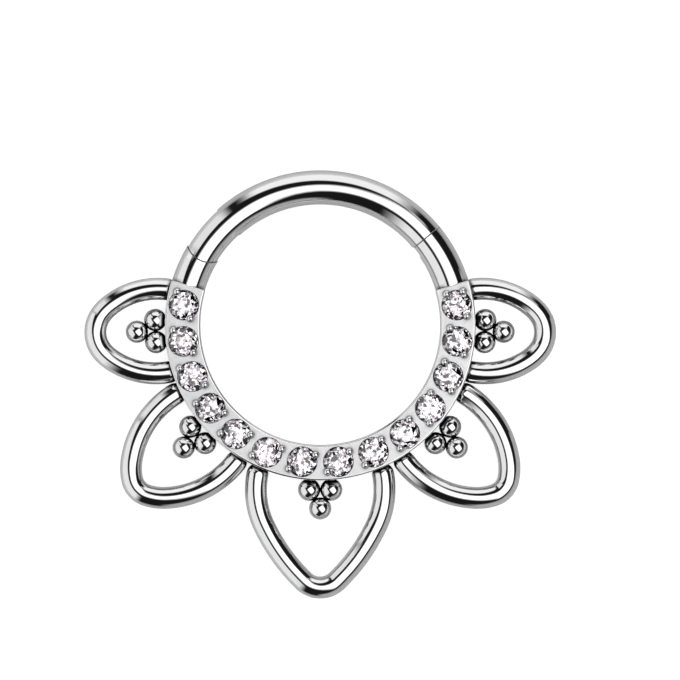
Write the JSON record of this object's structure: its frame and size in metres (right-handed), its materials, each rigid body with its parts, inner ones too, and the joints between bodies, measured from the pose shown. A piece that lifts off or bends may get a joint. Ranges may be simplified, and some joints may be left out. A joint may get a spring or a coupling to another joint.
{
  "type": "clicker ring",
  "caption": "Hinged segment ring for a piercing: a stone-set flat band with wire petals and bead clusters, closed by a round bar that swings on a pin.",
  "frame": {"origin": "middle of the loop, on the surface that the ring lies on", "axes": "+Z is the front that shows the stones; +Y points from the bottom petal to the swing bar; +X completes the right-handed frame, to the right as seen from the front"},
  "size_m": [0.0164, 0.0149, 0.0013],
  "materials": {
    "polished_steel": "mirror-polished surgical steel, cast and soldered",
    "bar_steel": "mirror-polished round surgical steel wire",
    "pin_steel": "drawn steel wire, cut and pressed in",
    "crystal": "clear round brilliant-cut stone with a faint pink tint"
  },
  "bodies": {
    "ring": {"ring_body": "polished_steel", "stone_01": "crystal", "stone_02": "crystal", "stone_03": "crystal", "stone_04": "crystal", "stone_05": "crystal", "stone_06": "crystal", "stone_07": "crystal", "stone_08": "crystal", "stone_09": "crystal", "stone_10": "crystal", "stone_11": "crystal", "stone_12": "crystal", "stone_13": "crystal", "stone_14": "crystal"},
    "bar": {"swing_bar": "bar_steel", "hinge_pin": "pin_steel"}
  },
  "joints": [
    {"name": "bar_hinge", "type": "hinge", "parent": "ring", "child": "bar", "pos_m": [-0.00384, 0.003, 0.00061], "axis": [0, 0, 1], "range_deg": [0, 110]}
  ]
}
